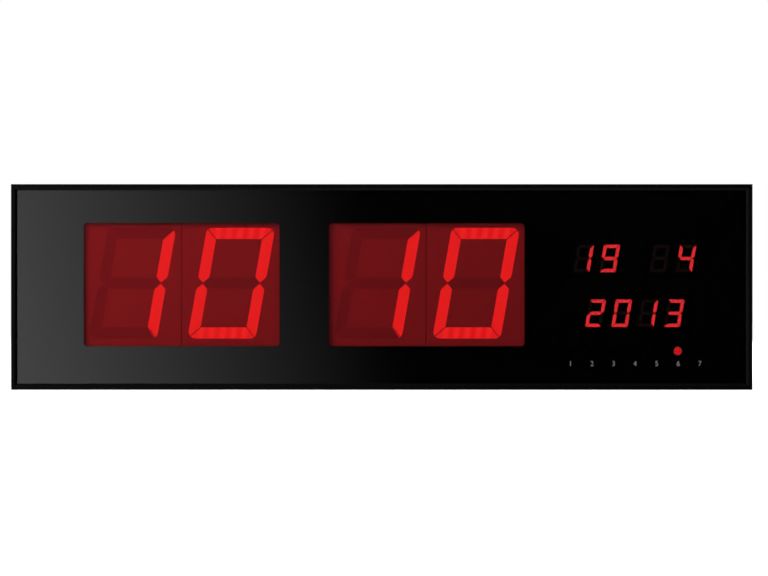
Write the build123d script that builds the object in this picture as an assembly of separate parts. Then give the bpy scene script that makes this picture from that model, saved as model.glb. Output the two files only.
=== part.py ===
"""Wide wall clock and timer with two large seven-segment displays and a calendar panel.

The case stands on its bottom rail. The origin is the middle of the case's footprint, +X runs to the
right as the display is read, +Y runs from the display to the wall and +Z is up. Sizes are in mm.
A "layer" is a distance behind the frontmost plane of the case, and y_of() turns it into a Y value.
"""

from build123d import *
import math
import os

# ---------------------------------------------------------------- overall
CASE_WIDTH = 674.0
CASE_HEIGHT = 187.0
CASE_DEPTH = 38.0
SLANT = 10.0              # lean of every digit, in degrees
LEAN = math.tan(math.radians(SLANT))

# ---------------------------------------------------------------- frame rails
WALL = 1.6                # the rails' outer wall
LIP_THICK = 1.8           # front lip over the panel's edge
LIP_REACH = 5.7
LIP_FLAT = 3.4            # flat band of the lip, before its bevel
BEVEL_DROP = 1.2
EDGE_BREAK = 0.5
CUT_OVER = 1.0            # how far a cutting tool runs past the face that it opens
RIB_THICK = 1.6           # rib behind the panel's groove
RIB_REACH = 5.0
LEDGE_THICK = 2.5         # ledge that the rear cover is screwed to
LEDGE_REACH = 9.5
COVER_RECESS = 2.0        # how deep the rear cover lies in the frame

# ---------------------------------------------------------------- panel and its films
PANEL_THICK = 3.0
PANEL_PLAY = 0.5          # panel edge to rail wall
MASK_THICK = 0.2
GASKET_THICK = 0.6
GASKET_WIDTH = 2.4

# ---------------------------------------------------------------- large digit modules
DIGIT_WIDTH = 63.0
DIGIT_HEIGHT = 101.6
DIGIT_SIDE = 4.4          # module beside its leaning digit
DIGIT_END = 10.2          # module above and below its digit
DIGIT_DEPTH = 15.0
DIGIT_Z = 97.0
DIGIT_BAR = 11.0
DIGIT_CORNER = 6.5
DIGIT_GAP = 0.8
DIGIT_BREAK = 0.8         # chamfer round a module's face
DIGIT_JOINT = 0.3         # gap between two modules
MODULE_PLAY = 0.3         # lens or filter to module face
DIFFUSER_THICK = 3.0
CUP_DEPTH = 9.0           # reflector cup, diffuser included

# ---------------------------------------------------------------- large windows
WINDOW_COVER = (1.0, 5.0) # how far the panel covers the modules' outer edges
WINDOW_RADIUS = 3.5
WINDOW_Z = 95.6
HOURS_X = -182.0
MINUTES_X = 40.9
LENS_PLAY = 0.2
LENS_RECESS = 0.8         # lens face behind the panel's face
LENS_FLANGE = 1.2
LENS_MARGIN = 5.0         # how far the lens flange reaches past the window

# ---------------------------------------------------------------- calendar modules
CALENDAR_X = 230.4
SMALL_WIDTH = 15.2
SMALL_HEIGHT = 25.4
SMALL_SIDE = 2.0
SMALL_END = 4.25
SMALL_DEPTH = 10.5
SMALL_BAR = 3.4
SMALL_CORNER = 1.6
SMALL_GAP = 0.35
SMALL_BREAK = 0.3
SMALL_JOINT = 0.15
SMALL_DIFFUSER = 1.5
SMALL_CUP = 6.0
DATE_Z = 119.5
YEAR_Z = 69.6
PAIR_OFFSET = 34.75       # day and month pairs, left and right of the calendar's middle
FILTER_THICK = 0.4
FILTER_MARGIN = 8.0
SIGHT_MARGIN = 0.6        # mask opening round a calendar module

# ---------------------------------------------------------------- weekday lamps
LAMP_COUNT = 7
LAMP_PITCH = 19.6
LAMP_Z = 35.2
LAMP_RADIUS = 4.0
LAMP_FLANGE = (4.7, 1.2)
LAMP_PLAY = 0.15
HOLDER_HEIGHT = 13.0
HOLDER_MARGIN = 4.0
HOLDER_FOOT = 3.0

# ---------------------------------------------------------------- boards
BOARD_THICK = 1.6
BOARD_CORNER = 2.0
BOARD_MARGIN_X = 5.0      # board past the outer edges of its two modules
BOARD_MARGIN_Z = 13.0     # board past its modules' upper and lower edges
CALENDAR_BOARD = (146.0, 140.0)
CALENDAR_BOARD_Z = 80.0
BOARD_SCREW_INSET = 6.0

# ---------------------------------------------------------------- rear cover
COVER_THICK = 1.2
COVER_PLAY = 0.4
COVER_CORNER = 1.0
KEYHOLE_X = 200.0
KEYHOLE_Z = 150.0
KEYHOLE_RADIUS = 4.5
KEYHOLE_NECK = 2.6
KEYHOLE_RISE = 9.0
VENT_COUNT = 9
VENT_PITCH = 9.0
VENT_SIZE = (3.0, 26.0)
VENT_ROWS = (50.0, 124.0)
SOUND_HOLE = 1.1
SOUND_RING = 5.0
SOUND_COUNT = 6

# ---------------------------------------------------------------- fasteners
SCREW_RADIUS = 1.5
SCREW_HEAD = (2.75, 1.5)
SCREW_LENGTH = 5.2
CROSS_SIZE = (0.7, 3.0, 0.8)
HOLE_PLAY = 0.2
THREAD_PLAY = 0.05
SPACER_RADIUS = 3.0
COVER_SCREW_X = (-318.0, -108.0, 108.0, 318.0)
COVER_SCREW_LENGTH = 4.6
KEY_THICK = 2.5
KEY_LEG = 30.0
KEY_LAYERS = (11.0, 29.0)
KEY_SCREW_FROM_CORNER = 20.0
SINK_HEAD = (2.8, 1.3)
SINK_BELOW = 0.1          # countersunk heads lie this far under the rail's face
SINK_LENGTH = 3.6

# ---------------------------------------------------------------- push buttons
BUTTON_NAMES = ("alarm_button", "down_button", "up_button", "mode_button")
BUTTON_FIRST_X = 206.0
BUTTON_PITCH = 16.0
BUTTON_Z = 118.0
BUTTON_RADIUS = 3.0
BUTTON_STEM = 1.7
BUTTON_FLANGE = (4.0, 1.2)
BUTTON_TRAVEL = 0.6
BUTTON_PROUD = 1.2        # button above the rear cover's outer face
BUTTON_PLAY = 0.25
BUTTON_ROUND = 0.4
HEAD_START = 2.0          # switch's top to where the button widens
SWITCH_SIZE = (6.2, 6.2, 4.0)
SWITCH_CORNER = 0.6
SWITCH_FLOOR = 1.4
GUIDE_SIZE = (84.0, 16.0)
GUIDE_CORNER = 2.0
GUIDE_DEPTH = 7.8
GUIDE_SKIN = 1.0          # left in front of the guide's blind screw holes
GUIDE_SCREW_REACH = 36.0

# ---------------------------------------------------------------- back-up cell
TRAY_X = 190.0
TRAY_Z = 66.0
DOOR_SIZE = (40.0, 30.0)
DOOR_THICK = 1.6
DOOR_RADIUS = 2.0
DOOR_PLAY = 0.3
GRIP_COUNT = 4
GRIP_PITCH = 3.0
GRIP_SIZE = (1.2, 14.0, 0.5)
GRIP_FROM_MIDDLE = -12.0
TRAY_RIM = 4.0
TRAY_CORNER = 3.0
TRAY_FLOOR = 1.4
CELL_RADIUS = 10.0
CELL_THICK = 3.2
CELL_EDGE = 0.5
CELL_ROOM = 24.0
CELL_ROOM_CORNER = 1.5
CELL_OFFSET = -5.5        # cell's middle from the tray's middle
CELL_LIFT = 0.9
CONTACT_THICK = 0.4
CONTACT_WIDTH = 6.0
TAIL_REACH = 1.6
LEAD_RADIUS = 0.6
LEAD_SLOT = (1.6, 3.0)
LEAD_STEP = 3.0
LEAD_BEND = 1.5
DOOR_SCREW_OFFSET = 14.0

# ---------------------------------------------------------------- other parts on the calendar board
JACK_X = 275.0
JACK_SIZE = (9.0, 14.4, 11.0)
JACK_AXIS_HEIGHT = 6.5
JACK_BORE = 3.2
JACK_PIN = 1.05
JACK_DEPTH = 9.5
JACK_GAP = 0.5
JACK_ROUND = 1.5
JACK_PIN_TIP = 0.6
JACK_PIN_SUNK = 1.0       # pin's tip behind the jack's mouth
INLET_RADIUS = 5.2
BUZZER_AT = (262.0, 70.0)
BUZZER_SIZE = (11.0, 9.0)
BUZZER_ROUND = 1.0
BUZZER_MOUTH = 2.0
CONTROLLER_AT = (226.0, 92.0)
CONTROLLER_SIZE = (12.0, 12.0, 1.6)
CRYSTAL_AT = (226.0, 78.0)
CRYSTAL_SIZE = (11.0, 4.6, 3.6)
CRYSTAL_CORNER = 2.2
REGULATOR_AT = (250.0, 30.0)
REGULATOR_SIZE = (10.2, 9.0, 4.5)
TAB_SIZE = (10.2, 6.0, 1.3)
TAB_HOLE = 1.8
CAPACITORS = ((228.0, 26.0, 5.0, 12.0), (214.0, 26.0, 4.0, 10.0))  # x, z, radius, height
CAN_ROUND = 0.6
DRIVER_SIZE = (15.4, 7.5, 2.3)

# ---------------------------------------------------------------- ribbon cables
HEADER_SIZE = (8.4, 20.0, 6.4)
HEADER_INSET = 7.0        # header's middle from the board's edge
HEADER_CORNER = 0.6
RIBBON_WIDTH = 12.7
RIBBON_THICK = 0.9
RIBBON_HEIGHT = 3.4       # ribbon's exit above its board
RIBBON_RISE = 3.6
RIBBON_BEND = 3.0
RIBBON_FOOT = 0.15        # straight run at each header, as a share of the cable's span
RIBBON_CREST = 0.4        # where the arch is at full height, as a share of the span

# ================================================================ sizes and layers worked out from the above
DIGIT_BODY = (
    DIGIT_WIDTH + LEAN * DIGIT_HEIGHT + 2 * DIGIT_SIDE,
    DIGIT_HEIGHT + 2 * DIGIT_END,
    DIGIT_DEPTH,
)
DIGIT_PITCH = DIGIT_BODY[0] + DIGIT_JOINT
SMALL_BODY = (
    SMALL_WIDTH + LEAN * SMALL_HEIGHT + 2 * SMALL_SIDE,
    SMALL_HEIGHT + 2 * SMALL_END,
    SMALL_DEPTH,
)
SMALL_PITCH = SMALL_BODY[0] + SMALL_JOINT
WINDOW_WIDTH = 2 * (DIGIT_PITCH - WINDOW_COVER[0])
WINDOW_HEIGHT = DIGIT_BODY[1] - 2 * WINDOW_COVER[1]
BOARD_WIDTH = 2 * (DIGIT_PITCH + BOARD_MARGIN_X)
BOARD_HEIGHT = DIGIT_BODY[1] + 2 * BOARD_MARGIN_Z
PANEL_FRONT = LIP_THICK
PANEL_BACK = PANEL_FRONT + PANEL_THICK
MASK_BACK = PANEL_BACK + MASK_THICK
RIB_FRONT = MASK_BACK + GASKET_THICK
RIB_BACK = RIB_FRONT + RIB_THICK
LENS_FRONT = PANEL_FRONT + LENS_RECESS
LENS_BACK = MASK_BACK + LENS_FLANGE
DIGIT_FACE = LENS_BACK + MODULE_PLAY
DIGIT_BACK = DIGIT_FACE + DIGIT_BODY[2]
DIGIT_BOARD_BACK = DIGIT_BACK + BOARD_THICK
FILTER_BACK = MASK_BACK + FILTER_THICK
SMALL_FACE = FILTER_BACK + MODULE_PLAY
SMALL_BACK = SMALL_FACE + SMALL_BODY[2]
CALENDAR_BOARD_BACK = SMALL_BACK + BOARD_THICK
COVER_BACK = CASE_DEPTH - COVER_RECESS
COVER_FRONT = COVER_BACK - COVER_THICK
LEDGE_FRONT = COVER_FRONT - LEDGE_THICK

THREAD_HOLE = SCREW_RADIUS + THREAD_PLAY
CLEAR_HOLE = SCREW_RADIUS + HOLE_PLAY
PANEL_WIDTH = CASE_WIDTH - 2 * (WALL + PANEL_PLAY)
PANEL_HEIGHT = CASE_HEIGHT - 2 * (WALL + PANEL_PLAY)
MIDDLE_Z = CASE_HEIGHT / 2


def y_of(layer):
    """The Y value of a layer."""
    return layer - CASE_DEPTH / 2


def slab(sketch, front, back):
    """A sketch drawn in X and Z, given the thickness between two layers."""
    plane = Plane((0, y_of(back), 0), x_dir=(1, 0, 0), z_dir=(0, -1, 0))
    return extrude(plane * sketch, amount=back - front)


def plate(x, z, width, height, front, back, radius=0.0):
    """A flat plate centred on x and z."""
    outline = RectangleRounded(width, height, radius) if radius else Rectangle(width, height)
    return slab(Pos(x, z) * outline, front, back)


def peg(x, z, radius, front, back):
    """A round pin along Y."""
    return slab(Pos(x, z) * Circle(radius), front, back)


def joined(pieces):
    """Several separate solids as one shape."""
    return Compound(children=[solid for piece in pieces for solid in piece.solids()])


def write(name, shape):
    """One STEP file for one sub-part."""
    export_step(shape, f"parts/{name}.step")


# ================================================================ frame
def rail_outline():
    """The rail's section as pairs: how far in from the case's edge, and the layer."""
    return [
        (0, EDGE_BREAK),
        (EDGE_BREAK, 0),
        (LIP_FLAT, 0),
        (LIP_REACH, BEVEL_DROP),
        (LIP_REACH, LIP_THICK),
        (WALL, LIP_THICK),
        (WALL, RIB_FRONT),
        (RIB_REACH, RIB_FRONT),
        (RIB_REACH, RIB_BACK),
        (WALL, RIB_BACK),
        (WALL, LEDGE_FRONT),
        (LEDGE_REACH, LEDGE_FRONT),
        (LEDGE_REACH, COVER_FRONT),
        (WALL, COVER_FRONT),
        (WALL, CASE_DEPTH),
        (0, CASE_DEPTH),
    ]


def mitre_wedge(corners):
    """The part of the case that one rail may fill, cut along the corner mitres."""
    return slab(make_face(Polyline(*corners, close=True)), 0, CASE_DEPTH)


def horizontal_rail(top):
    """The top or the bottom rail, mitred at both ends."""
    def height(inward):
        return CASE_HEIGHT - inward if top else inward

    end = CASE_WIDTH / 2
    points = [(-end, y_of(layer), height(inward)) for inward, layer in rail_outline()]
    bar = extrude(make_face(Polyline(*points, close=True)), amount=CASE_WIDTH, dir=(1, 0, 0))
    edge, middle = height(0), height(MIDDLE_Z)
    return bar & mitre_wedge([(-end, edge), (end, edge), (end - MIDDLE_Z, middle), (MIDDLE_Z - end, middle)])


def side_rail(side):
    """The left (-1) or right (1) rail, mitred at both ends."""
    edge = side * CASE_WIDTH / 2
    points = [(edge - side * inward, y_of(layer), 0) for inward, layer in rail_outline()]
    bar = extrude(make_face(Polyline(*points, close=True)), amount=CASE_HEIGHT, dir=(0, 0, 1))
    wedge = mitre_wedge([(edge, 0), (edge, CASE_HEIGHT), (edge - side * MIDDLE_Z, MIDDLE_Z)])
    return bar & wedge


def key_screw_places():
    """Where the corner screws enter the rails, and which way each head faces."""
    middle_y = y_of(sum(KEY_LAYERS) / 2)
    places = []
    for side in (-1, 1):
        for up in (-1, 1):
            edge_z = CASE_HEIGHT if up > 0 else 0.0
            x = side * (CASE_WIDTH / 2 - KEY_SCREW_FROM_CORNER)
            places.append(((x, middle_y, edge_z), (0, 0, up)))
            z = edge_z - up * KEY_SCREW_FROM_CORNER
            places.append(((side * CASE_WIDTH / 2, middle_y, z), (side, 0, 0)))
    return places


def countersunk_screw():
    """A countersunk screw along +Z. Its seat, the surface that it lies under, is at the origin."""
    radius, height = SINK_HEAD
    head = Pos(0, 0, -SINK_BELOW - height / 2) * Cone(SCREW_RADIUS, radius, height)
    shank = Pos(0, 0, -SINK_BELOW - height - SINK_LENGTH / 2) * Cylinder(SCREW_RADIUS, SINK_LENGTH)
    return head + shank - cross_recess(-SINK_BELOW)


def countersunk_room():
    """What a countersunk screw needs cut from the rail."""
    radius, height = SINK_HEAD
    depth = SINK_BELOW + height
    slope = (radius - SCREW_RADIUS) / height
    mouth = radius + THREAD_PLAY + slope * SINK_BELOW
    cone = Pos(0, 0, -depth / 2) * Cone(THREAD_HOLE, mouth, depth)
    return cone + Pos(0, 0, -WALL) * Cylinder(THREAD_HOLE, 2 * WALL)


def cross_recess(top):
    """The crossed slots of a screw's head, cut down from top."""
    width, length, depth = CROSS_SIZE
    slot = Box(length, width, depth) + Box(width, length, depth)
    return Pos(0, 0, top - depth / 2) * slot


def pan_screw(length):
    """A pan-head screw along +Z, seated at the origin."""
    radius, height = SCREW_HEAD
    head = Pos(0, 0, height / 2) * Cylinder(radius, height)
    head = fillet(head.edges().sort_by(Axis.Z)[-1], height / 2)
    shank = Pos(0, 0, -length / 2) * Cylinder(SCREW_RADIUS, length)
    return head + shank - cross_recess(height)


def at(place, direction, shape):
    """A shape drawn along +Z, turned along direction and moved to place."""
    return Plane(place, z_dir=direction) * shape


def corner_key(side, up):
    """An L-shaped plate that ties two rails together inside a corner."""
    x = side * (CASE_WIDTH / 2 - WALL)
    z = CASE_HEIGHT - WALL if up > 0 else WALL
    corners = [
        (x, z),
        (x - side * KEY_LEG, z),
        (x - side * KEY_LEG, z - up * KEY_THICK),
        (x - side * KEY_THICK, z - up * KEY_THICK),
        (x - side * KEY_THICK, z - up * KEY_LEG),
        (x, z - up * KEY_LEG),
    ]
    return slab(make_face(Polyline(*corners, close=True)), *KEY_LAYERS)


def make_frame():
    """The four rails, their corner keys and the corner screws."""
    places = key_screw_places()
    rooms = [at(place, direction, countersunk_room()) for place, direction in places]
    threads = [at(place, direction, Cylinder(THREAD_HOLE, 2 * KEY_LEG)) for place, direction in places]
    jack_middle = CALENDAR_BOARD_BACK + JACK_AXIS_HEIGHT
    inlet = Pos(JACK_X, y_of(jack_middle), 0) * Cylinder(INLET_RADIUS, 2 * (WALL + CUT_OVER))
    ledge_holes = [
        peg(x, z, THREAD_HOLE, LEDGE_FRONT - CUT_OVER, COVER_FRONT + CUT_OVER)
        for x, z in cover_screw_places()
    ]
    write("rail_top", horizontal_rail(True) - rooms - ledge_holes)
    write("rail_bottom", horizontal_rail(False) - rooms - ledge_holes - inlet)
    write("rail_left", side_rail(-1) - rooms - ledge_holes)
    write("rail_right", side_rail(1) - rooms - ledge_holes)
    keys = [corner_key(side, up) - threads for side in (-1, 1) for up in (-1, 1)]
    write("corner_keys", joined(keys))
    write("corner_screws", joined([at(*place, countersunk_screw()) for place in places]))


# ================================================================ front panel and what is bonded to it
def window_outline(grow=0.0):
    """A large window's outline, grown by a margin on every side."""
    return RectangleRounded(
        WINDOW_WIDTH + 2 * grow, WINDOW_HEIGHT + 2 * grow, max(WINDOW_RADIUS + grow, 0.5)
    )


def sights():
    """The mask's openings over the calendar modules and the weekday lamps."""
    height = SMALL_BODY[1] + 2 * SIGHT_MARGIN
    openings = []
    for x, z, count in calendar_groups():
        width = count * SMALL_PITCH + 2 * SIGHT_MARGIN
        openings.append(Pos(x, z) * Rectangle(width, height))
    for x in lamp_places():
        openings.append(Pos(x, LAMP_Z) * Circle(LAMP_RADIUS))
    return openings


def lens(x):
    """A red window: a land that fills the panel's cut-out, on a wider flange behind the mask."""
    land = slab(Pos(x, WINDOW_Z) * window_outline(-LENS_PLAY), LENS_FRONT, MASK_BACK)
    flange = slab(Pos(x, WINDOW_Z) * window_outline(LENS_MARGIN), MASK_BACK, LENS_BACK)
    return land + flange


def make_front():
    """The panel, the printed mask, the two lenses, the calendar's filter and the gasket."""
    windows = [Pos(x, WINDOW_Z) * window_outline() for x in (HOURS_X, MINUTES_X)]
    outline = Pos(0, MIDDLE_Z) * Rectangle(PANEL_WIDTH, PANEL_HEIGHT)
    inside = Pos(0, MIDDLE_Z) * Rectangle(PANEL_WIDTH - 2 * GASKET_WIDTH, PANEL_HEIGHT - 2 * GASKET_WIDTH)
    write("front_panel", slab(outline - windows, PANEL_FRONT, PANEL_BACK))
    write("mask_print", slab(outline - windows - sights(), PANEL_BACK, MASK_BACK))
    write("panel_gasket", slab(outline - inside, MASK_BACK, RIB_FRONT))
    write("hours_lens", lens(HOURS_X))
    write("minutes_lens", lens(MINUTES_X))
    low = LAMP_Z - HOLDER_HEIGHT / 2 - FILTER_MARGIN
    high = DATE_Z + SMALL_BODY[1] / 2 + FILTER_MARGIN
    width = (LAMP_COUNT - 1) * LAMP_PITCH + 3 * FILTER_MARGIN
    film = plate(CALENDAR_X, (low + high) / 2, width, high - low, MASK_BACK, FILTER_BACK, 1.0)
    write("calendar_filter", film)


# ================================================================ display modules
def leaned(points):
    """Points of an upright digit, leaned over by SLANT about its middle height."""
    return [(x + z * LEAN, z) for x, z in points]


def segment_faces(width, height, bar, corner, gap):
    """The seven bars of a digit, as sketches centred on the digit, in the order A to G."""
    half_w, half_h = width / 2, height / 2
    tip, shoulder = half_w - bar / 2, half_w - bar
    top = [(-half_w, half_h), (half_w, half_h), (shoulder, half_h - bar), (-shoulder, half_h - bar)]
    side = [(half_w, half_h), (half_w, bar / 2), (tip, 0), (shoulder, bar / 2), (shoulder, half_h - bar)]
    middle = [
        (-tip, 0),
        (-shoulder, bar / 2),
        (shoulder, bar / 2),
        (tip, 0),
        (shoulder, -bar / 2),
        (-shoulder, -bar / 2),
    ]
    shapes = [
        top,
        side,
        [(x, -z) for x, z in side],
        [(x, -z) for x, z in top],
        [(-x, -z) for x, z in side],
        [(-x, z) for x, z in side],
        middle,
    ]
    box = [(-half_w, -half_h), (half_w, -half_h), (half_w, half_h), (-half_w, half_h)]
    outline = make_face(Polyline(*leaned(box), close=True))
    outline = fillet(outline.vertices(), corner)
    faces = []
    for points in shapes:
        bar_face = make_face(Polyline(*leaned(points), close=True))
        faces.append(offset(bar_face & outline, amount=-gap / 2))
    return faces


def module(x, z, body, face, faces, edge_break, diffuser, cup):
    """One display module: its housing with a reflector cup behind each bar, and the bars' diffusers."""
    width, height, depth = body
    housing = plate(x, z, width, height, face, face + depth)
    housing = chamfer(housing.faces().sort_by(Axis.Y)[0].edges(), edge_break)
    placed = [Pos(x, z) * bar for bar in faces]
    housing = housing - [slab(bar, face, face + cup) for bar in placed]
    bars = joined([slab(bar, face, face + diffuser) for bar in placed])
    return housing, bars


def calendar_groups():
    """Each calendar group's middle x, middle z and number of digits."""
    return [
        (CALENDAR_X - PAIR_OFFSET, DATE_Z, 2),
        (CALENDAR_X + PAIR_OFFSET, DATE_Z, 2),
        (CALENDAR_X, YEAR_Z, 4),
    ]


def make_digits():
    """The four large modules and the calendar's eight small ones."""
    faces = segment_faces(DIGIT_WIDTH, DIGIT_HEIGHT, DIGIT_BAR, DIGIT_CORNER, DIGIT_GAP)
    for pair, pair_x in (("hours", HOURS_X), ("minutes", MINUTES_X)):
        for digit, side in (("tens", -1), ("ones", 1)):
            x = pair_x + side * DIGIT_PITCH / 2
            housing, bars = module(
                x, DIGIT_Z, DIGIT_BODY, DIGIT_FACE, faces, DIGIT_BREAK, DIFFUSER_THICK, CUP_DEPTH
            )
            write(f"{pair}_{digit}_module", housing)
            write(f"{pair}_{digit}_segments", bars)
    faces = segment_faces(SMALL_WIDTH, SMALL_HEIGHT, SMALL_BAR, SMALL_CORNER, SMALL_GAP)
    for name, (middle, z, count) in zip(("day", "month", "year"), calendar_groups()):
        made = []
        for place in range(count):
            x = middle + (place - (count - 1) / 2) * SMALL_PITCH
            made.append(
                module(x, z, SMALL_BODY, SMALL_FACE, faces, SMALL_BREAK, SMALL_DIFFUSER, SMALL_CUP)
            )
        write(f"{name}_modules", joined([housing for housing, _ in made]))
        write(f"{name}_segments", joined([bars for _, bars in made]))


# ================================================================ weekday lamps
def lamp_places():
    """The x of each weekday lamp."""
    return [CALENDAR_X + (i - (LAMP_COUNT - 1) / 2) * LAMP_PITCH for i in range(LAMP_COUNT)]


def lamp(x):
    """A round lamp with a domed top and a flange that stands on the board."""
    flange_radius, flange_thick = LAMP_FLANGE
    body = peg(x, LAMP_Z, LAMP_RADIUS, SMALL_FACE + LAMP_RADIUS, SMALL_BACK)
    dome = Pos(x, y_of(SMALL_FACE + LAMP_RADIUS), LAMP_Z) * Sphere(LAMP_RADIUS)
    return body + dome + peg(x, LAMP_Z, flange_radius, SMALL_BACK - flange_thick, SMALL_BACK)


def make_lamps():
    """The seven weekday lamps and the holder that keeps them in line."""
    width = (LAMP_COUNT - 1) * LAMP_PITCH + 2 * (LAMP_RADIUS + HOLDER_MARGIN)
    flange_front = SMALL_BACK - LAMP_FLANGE[1]
    holder = plate(CALENDAR_X, LAMP_Z, width, HOLDER_HEIGHT, SMALL_FACE + MODULE_PLAY, flange_front)
    for side in (-1, 1):
        x = CALENDAR_X + side * (width - HOLDER_FOOT) / 2
        holder += plate(x, LAMP_Z, HOLDER_FOOT, HOLDER_HEIGHT, flange_front, SMALL_BACK)
    bores = [peg(x, LAMP_Z, LAMP_RADIUS + LAMP_PLAY, 0, SMALL_BACK) for x in lamp_places()]
    write("weekday_lamps", joined([lamp(x) for x in lamp_places()]))
    write("lamp_holder", holder - bores)


# ================================================================ boards, spacers and their screws
def board_facts():
    """Each board's name, middle x, middle z, width, height and front layer."""
    return [
        ("hours_board", HOURS_X, DIGIT_Z, BOARD_WIDTH, BOARD_HEIGHT, DIGIT_BACK),
        ("minutes_board", MINUTES_X, DIGIT_Z, BOARD_WIDTH, BOARD_HEIGHT, DIGIT_BACK),
        ("calendar_board", CALENDAR_X, CALENDAR_BOARD_Z, *CALENDAR_BOARD, SMALL_BACK),
    ]


def board_screw_places(x, z, width, height):
    """The four corner screws of a board."""
    reach_x, reach_z = width / 2 - BOARD_SCREW_INSET, height / 2 - BOARD_SCREW_INSET
    return [(x + i * reach_x, z + j * reach_z) for i in (-1, 1) for j in (-1, 1)]


def make_boards():
    """The three boards, the spacers that hold them to the rear cover, and the spacers' screws."""
    spacers, screws = [], []
    for name, x, z, width, height, front in board_facts():
        places = board_screw_places(x, z, width, height)
        back = front + BOARD_THICK
        holes = [peg(i, j, CLEAR_HOLE, front - CUT_OVER, back + CUT_OVER) for i, j in places]
        write(name, plate(x, z, width, height, front, back, BOARD_CORNER) - holes)
        for i, j in places:
            tube = peg(i, j, SPACER_RADIUS, back, COVER_FRONT)
            spacers.append(tube - peg(i, j, THREAD_HOLE, back, COVER_FRONT))
            screws.append(at((i, y_of(front), j), (0, -1, 0), pan_screw(SCREW_LENGTH)))
            screws.append(at((i, y_of(COVER_BACK), j), (0, 1, 0), pan_screw(SCREW_LENGTH)))
    write("board_spacers", joined(spacers))
    write("spacer_screws", joined(screws))


# ================================================================ rear cover
def cover_screw_places():
    """The screws round the rear cover's edge."""
    inset = (WALL + LEDGE_REACH) / 2
    places = [(x, z) for x in COVER_SCREW_X for z in (inset, CASE_HEIGHT - inset)]
    return places + [(side * (CASE_WIDTH / 2 - inset), MIDDLE_Z) for side in (-1, 1)]


def guide_screw_places():
    """The two screws that hold the button guide to the cover."""
    middle = BUTTON_FIRST_X + (len(BUTTON_NAMES) - 1) / 2 * BUTTON_PITCH
    return [(middle + side * GUIDE_SCREW_REACH, BUTTON_Z) for side in (-1, 1)]


def keyhole(x):
    """A hanging hole: a round entry with a narrow neck above it."""
    neck = Pos(x, KEYHOLE_Z + KEYHOLE_RISE / 2) * Rectangle(2 * KEYHOLE_NECK, KEYHOLE_RISE)
    top = Pos(x, KEYHOLE_Z + KEYHOLE_RISE) * Circle(KEYHOLE_NECK)
    return Pos(x, KEYHOLE_Z) * Circle(KEYHOLE_RADIUS) + neck + top


def vents(middle):
    """The slots behind one large display."""
    slots = []
    for z in VENT_ROWS:
        for i in range(VENT_COUNT):
            x = middle + (i - (VENT_COUNT - 1) / 2) * VENT_PITCH
            slots.append(Pos(x, z) * Rot(0, 0, 90) * SlotOverall(VENT_SIZE[1], VENT_SIZE[0]))
    return slots


def sound_holes():
    """A small ring of holes over the buzzer."""
    x, z = BUZZER_AT
    return [Pos(x, z) * Circle(SOUND_HOLE)] + [
        Pos(x, z) * place * Circle(SOUND_HOLE) for place in PolarLocations(SOUND_RING, SOUND_COUNT)
    ]


def make_cover():
    """The rear cover and the screws that hold it and the button guide."""
    width = CASE_WIDTH - 2 * (WALL + COVER_PLAY)
    height = CASE_HEIGHT - 2 * (WALL + COVER_PLAY)
    sheet = Pos(0, MIDDLE_Z) * RectangleRounded(width, height, COVER_CORNER)
    places = cover_screw_places() + guide_screw_places()
    spacer_places = [
        place for _, x, z, w, h, _ in board_facts() for place in board_screw_places(x, z, w, h)
    ]
    holes = [Pos(x, z) * Circle(CLEAR_HOLE) for x, z in places + spacer_places]
    holes += [keyhole(side * KEYHOLE_X) for side in (-1, 1)]
    holes += vents(HOURS_X) + vents(MINUTES_X) + sound_holes()
    holes += [Pos(x, BUTTON_Z) * Circle(BUTTON_RADIUS + BUTTON_PLAY) for x in button_places()]
    holes.append(Pos(TRAY_X, TRAY_Z) * RectangleRounded(*DOOR_SIZE, DOOR_RADIUS))
    write("rear_cover", slab(sheet - holes, COVER_FRONT, COVER_BACK))
    screws = [at((x, y_of(COVER_BACK), z), (0, 1, 0), pan_screw(COVER_SCREW_LENGTH)) for x, z in places]
    write("cover_screws", joined(screws))


# ================================================================ push buttons
def button_places():
    """The x of each push button."""
    return [BUTTON_FIRST_X + i * BUTTON_PITCH for i in range(len(BUTTON_NAMES))]


def button(x):
    """A push button: a thin stem in the switch, a flange under the cover and a head through it."""
    switch_top = CALENDAR_BOARD_BACK + SWITCH_SIZE[2]
    flange_radius, flange_thick = BUTTON_FLANGE
    flange_back = COVER_FRONT - MODULE_PLAY
    stem_end = CALENDAR_BOARD_BACK + SWITCH_FLOOR + BUTTON_TRAVEL + BUTTON_PLAY
    stem = peg(x, BUTTON_Z, BUTTON_STEM, stem_end, COVER_FRONT)
    head = peg(x, BUTTON_Z, BUTTON_RADIUS, switch_top + HEAD_START, COVER_BACK + BUTTON_PROUD)
    head = fillet(head.edges().sort_by(Axis.Y)[-1], BUTTON_ROUND)
    return stem + head + peg(x, BUTTON_Z, flange_radius, flange_back - flange_thick, flange_back)


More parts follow.
